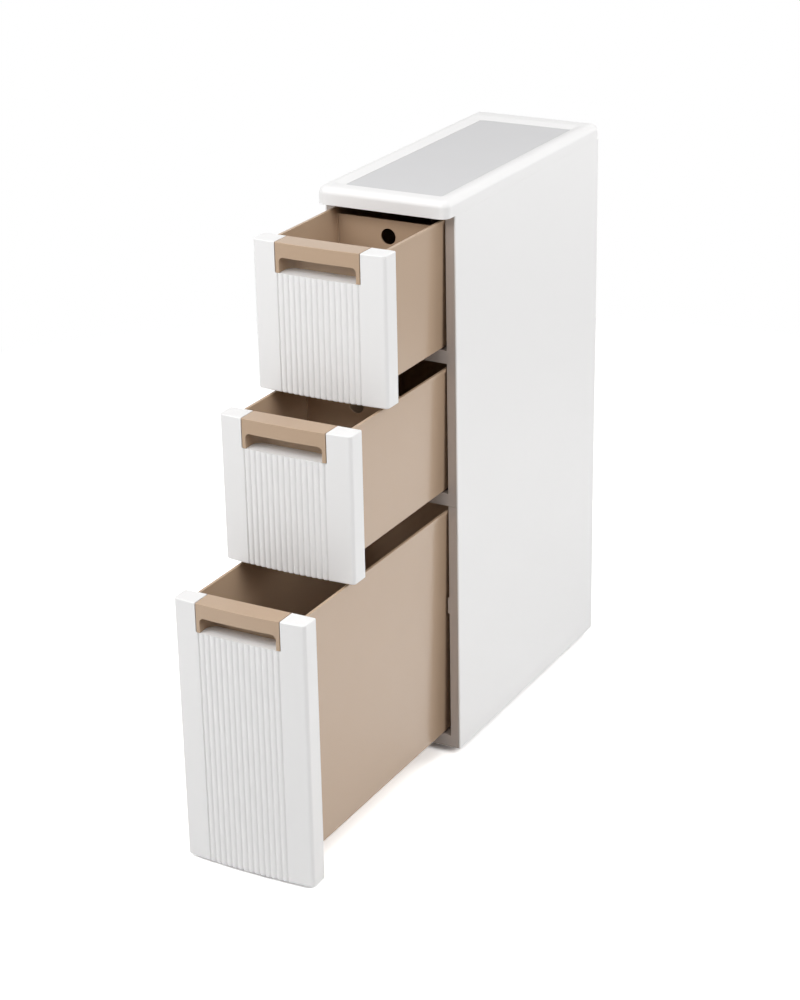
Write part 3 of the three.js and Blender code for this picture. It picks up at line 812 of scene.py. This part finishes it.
def frames():
    """Frame of the two shallow drawers, and the frame of the deep one with its guide blocks."""
    sizes = bpy.context.scene.tower_cabinet
    opening_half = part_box("drawer_top_box")[1].x + sizes.stile_gap
    tops = {drawer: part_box(f"drawer_{drawer}_front")[1].z + sizes.head_gap for drawer in DRAWERS}
    feet = {drawer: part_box(f"drawer_{drawer}_box")[0].z - sizes.lift for drawer in DRAWERS}

    def opening(drawer, high):
        return block("opening", (-opening_half, front_y - PAST, feet[drawer]),
                     (opening_half, back_y + PAST, high))

    low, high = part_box("front_frame_upper")
    front_y, back_y = low.y, high.y
    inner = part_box("front_frame_lower")[1].x
    panel_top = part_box("side_panel_right")[1].z
    stiles = block("stiles", low, (high.x, high.y, panel_top))
    for vert in stiles.data.vertices:
        vert.co.x = math.copysign(inner, vert.co.x)
    carve(stiles, opening("middle", tops["middle"]), opening("top", panel_top + PAST))
    ease(stiles, sizes.edge)
    bar = block("bar", (low.x, low.y, panel_top - sizes.edge), high, sizes.edge)
    upper = gather("upper_frame", stiles, bar)
    dress(upper, "taupe_plastic", "cabinet", "front_frame_upper")

    low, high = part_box("front_frame_lower")
    surround = block("surround", low, high)
    carve(surround, opening("bottom", high.z + PAST))
    ease(surround, sizes.edge)
    parts = [surround]
    centre = low.z + sizes.guide_centre
    for side in (-1, 1):
        xs = sorted((side * (opening_half - sizes.guide_reach), side * (opening_half + MM)))
        parts.append(block("guide", (xs[0], low.y, centre - sizes.guide_height / 2),
                           (xs[1], high.y, centre + sizes.guide_height / 2), sizes.edge))
    lower = gather("lower_frame", *parts)
    dress(lower, "taupe_plastic", "cabinet", "front_frame_lower")


def inner_structure():
    """Shelves, base and axles keep their own shape and get their finish."""
    slots = {node: "taupe_plastic" for node in ("shelf_upper", "shelf_lower", "base_plate")}
    slots.update({f"axle_{corner}": "axle_steel" for corner in CORNERS})
    for node, slot in slots.items():
        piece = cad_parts[node]
        piece.data.materials.clear()
        piece.data.materials.append(finish(slot))


def roller(corner):
    """Wheel with a hub and a dished side, turned about its pin."""
    low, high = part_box(f"roller_{corner}")
    centre = (low + high) / 2
    outer = (high.z - low.z) / 2
    half = (high.x - low.x) / 2
    bore = 2.3 * MM
    hub = 4.5 * MM
    dish = 1.2 * MM
    tyre = 3 * MM
    lean = 0.4 * MM
    turn = 0.35 * MM
    profile = [(bore, -half), (hub, -half), (hub + lean, -half + dish), (outer - tyre, -half + dish),
               (outer - tyre + lean, -half), (outer - dish, -half), (outer - turn, -half + turn),
               (outer, -half + dish)]
    profile += [(radius, -across) for radius, across in reversed(profile)]
    steps = 72
    rings = []
    for radius, across in profile:
        rings.append([(centre.x + across, centre.y + radius * math.cos(math.tau * i / steps),
                       centre.z + radius * math.sin(math.tau * i / steps)) for i in range(steps)])
    bm = bmesh.new()
    levels = [[bm.verts.new(point) for point in points] for points in rings]
    for k, near in enumerate(levels):
        far = levels[(k + 1) % len(levels)]
        for i in range(steps):
            j = (i + 1) % steps
            bm.faces.new((near[i], near[j], far[j], far[i]))
    piece = to_object(bm, f"{corner}_wheel")
    return dress(piece, "roller_plastic", f"{corner}_roller", f"roller_{corner}")


# Stage

def add_seen(tree):
    """1 for what the camera sees, straight or in a reflection, and 0 for light on its way."""
    path = tree.nodes.new("ShaderNodeLightPath")
    seen = calculate(tree, "MAXIMUM", path.outputs["Is Camera Ray"], path.outputs["Is Glossy Ray"])
    return calculate(tree, "MAXIMUM", seen, path.outputs["Is Transmission Ray"])


def floor_finish(tone, shown):
    """Matt floor, shown to the camera as white outside the shadow and as plain white far off."""
    material = bpy.data.materials.new("stage_floor")
    material.use_nodes = True
    tree = material.node_tree
    tree.nodes.remove(tree.nodes["Principled BSDF"])
    shades = []
    for value in (tone, shown):
        shade = tree.nodes.new("ShaderNodeBsdfDiffuse")
        shade.inputs["Color"].default_value = (value, value, value, 1)
        shades.append(shade)
    white = tree.nodes.new("ShaderNodeEmission")
    material.cycles.emission_sampling = "NONE"
    reach = tree.nodes.new("ShaderNodeVectorMath")
    reach.operation = "LENGTH"
    tree.links.new(tree.nodes.new("ShaderNodeTexCoord").outputs["Object"], reach.inputs[0])
    far = remap(tree, reach.outputs["Value"], WHITE_FROM, WHITE_PAST, 0, 1)
    shown_floor = tree.nodes.new("ShaderNodeMixShader")
    mix = tree.nodes.new("ShaderNodeMixShader")
    for node, share, first, second in ((shown_floor, far, shades[1], white),
                                       (mix, add_seen(tree), shades[0], shown_floor)):
        tree.links.new(share, node.inputs["Fac"])
        tree.links.new(first.outputs[0], node.inputs[1])
        tree.links.new(second.outputs[0], node.inputs[2])
    tree.links.new(mix.outputs[0], tree.nodes["Material Output"].inputs["Surface"])
    return material


def world_light(ceiling):
    """Light that grows from nothing at the horizon to the ceiling, seen as plain white."""
    world = bpy.data.worlds.new("studio")
    bpy.context.scene.world = world
    world.use_nodes = True
    tree = world.node_tree
    background = tree.nodes["Background"]
    background.inputs["Color"].default_value = (1, 1, 1, 1)
    split = tree.nodes.new("ShaderNodeSeparateXYZ")
    tree.links.new(tree.nodes.new("ShaderNodeTexCoord").outputs["Generated"], split.inputs[0])
    level = remap(tree, split.outputs["Z"], 0, 1, 0, ceiling)
    shown = tree.nodes.new("ShaderNodeMapRange")
    tree.links.new(add_seen(tree), shown.inputs["Value"])
    tree.links.new(level, shown.inputs["To Min"])
    tree.links.new(shown.outputs["Result"], background.inputs["Strength"])


def lamp(name, place, power):
    """Square soft box turned to the middle of the tower."""
    light = bpy.data.lights.new(name, "AREA")
    light.size = LAMP_SIZE
    light.energy = power
    holder = bpy.data.objects.new(name, light)
    holder.location = place
    aim = Vector(LAMP_AIM) - Vector(place)
    holder.rotation_euler = aim.to_track_quat("-Z", "Y").to_euler()
    bpy.context.scene.collection.objects.link(holder)


def camera():
    """The photograph's viewpoint, fitted to the cabinet's corners."""
    data = bpy.data.cameras.new("camera")
    data.sensor_fit = "HORIZONTAL"
    data.sensor_width = VIEW_SENSOR
    data.lens = VIEW_LENS
    data.clip_end = 100
    holder = bpy.data.objects.new("camera", data)
    azimuth, elevation, roll = (math.radians(angle) for angle in VIEW_TURNS)
    turn = Matrix.Rotation(azimuth, 4, "Z") @ Matrix.Rotation(math.pi / 2 + elevation, 4, "X")
    holder.matrix_world = Matrix.Translation(VIEW_PLACE) @ turn @ Matrix.Rotation(roll, 4, "Z")
    bpy.context.scene.collection.objects.link(holder)
    bpy.context.scene.camera = holder


# Operators

class TOWER_OT_fronts(bpy.types.Operator):
    """Build the three ribbed drawer fronts"""
    bl_idname = "tower.fronts"
    bl_label = "Drawer fronts"

    def execute(self, context):
        for drawer in DRAWERS:
            drawer_front(drawer)
        return {"FINISHED"}


class TOWER_OT_grips(bpy.types.Operator):
    """Build the grips that clip into the fronts"""
    bl_idname = "tower.grips"
    bl_label = "Grips"

    def execute(self, context):
        for drawer in DRAWERS:
            drawer_grip(drawer)
        return {"FINISHED"}


class TOWER_OT_boxes(bpy.types.Operator):
    """Build the drawer boxes and their dividers"""
    bl_idname = "tower.boxes"
    bl_label = "Drawer boxes"

    def execute(self, context):
        for drawer in DRAWERS:
            drawer_box(drawer)
        for drawer in DIVIDED:
            drawer_divider(drawer)
        return {"FINISHED"}


class TOWER_OT_cover(bpy.types.Operator):
    """Build the cover and its inlaid mat"""
    bl_idname = "tower.cover"
    bl_label = "Cover and mat"

    def execute(self, context):
        cover()
        mat()
        return {"FINISHED"}


class TOWER_OT_cabinet(bpy.types.Operator):
    """Build the panels and frames, and finish what stands inside"""
    bl_idname = "tower.cabinet"
    bl_label = "Cabinet"

    def execute(self, context):
        side_panel("left", -1)
        side_panel("right", 1)
        back_panel()
        frames()
        inner_structure()
        return {"FINISHED"}


class TOWER_OT_rollers(bpy.types.Operator):
    """Build the four rollers"""
    bl_idname = "tower.rollers"
    bl_label = "Rollers"

    def execute(self, context):
        for corner in CORNERS:
            roller(corner)
        return {"FINISHED"}


class TOWER_OT_stage(bpy.types.Operator):
    """Set the floor, the light and the camera"""
    bl_idname = "tower.stage"
    bl_label = "Stage"

    def execute(self, context):
        stage = context.scene.tower_stage
        bm = bmesh.new()
        bmesh.ops.create_grid(bm, x_segments=1, y_segments=1, size=FLOOR_HALF)
        floor = to_object(bm, "floor")
        floor.data.materials.append(floor_finish(stage.floor_tone, stage.floor_shown))
        world_light(stage.ceiling)
        for name, place in LAMPS.items():
            lamp(name, place, getattr(stage, name))
        camera()
        context.scene.view_settings.view_transform = "Standard"
        return {"FINISHED"}


class TOWER_PT_panel(bpy.types.Panel):
    """Sizes, colours and steps of the tower"""
    bl_idname = "TOWER_PT_panel"
    bl_label = "Drawer tower"
    bl_space_type = "VIEW_3D"
    bl_region_type = "UI"
    bl_category = "Tower"

    def draw(self, context):
        layout = self.layout
        for step in OPERATORS:
            layout.operator(step.bl_idname)
        for name in GROUPS:
            group = getattr(context.scene, name)
            box = layout.box()
            for label in group.bl_rna.properties.keys():
                if label not in {"rna_type", "name"}:
                    box.prop(group, label)


OPERATORS = (TOWER_OT_stage, TOWER_OT_cabinet, TOWER_OT_cover, TOWER_OT_boxes, TOWER_OT_fronts,
             TOWER_OT_grips, TOWER_OT_rollers)
GROUPS = {
    "tower_front": TowerFrontSizes,
    "tower_grip": TowerGripSizes,
    "tower_box": TowerBoxSizes,
    "tower_cabinet": TowerCabinetSizes,
    "tower_colours": TowerColours,
    "tower_stage": TowerStage,
}


def register():
    for group in GROUPS.values():
        bpy.utils.register_class(group)
    for name, group in GROUPS.items():
        setattr(bpy.types.Scene, name, PointerProperty(type=group))
    for step in (*OPERATORS, TOWER_PT_panel):
        bpy.utils.register_class(step)


def unregister():
    for step in reversed((*OPERATORS, TOWER_PT_panel)):
        bpy.utils.unregister_class(step)
    for name in GROUPS:
        delattr(bpy.types.Scene, name)
    for group in GROUPS.values():
        bpy.utils.unregister_class(group)


def main():
    register()
    for step in (bpy.ops.tower.stage, bpy.ops.tower.cabinet, bpy.ops.tower.cover, bpy.ops.tower.boxes,
                 bpy.ops.tower.fronts, bpy.ops.tower.grips, bpy.ops.tower.rollers):
        step()


if __name__ == "__main__":
    main()
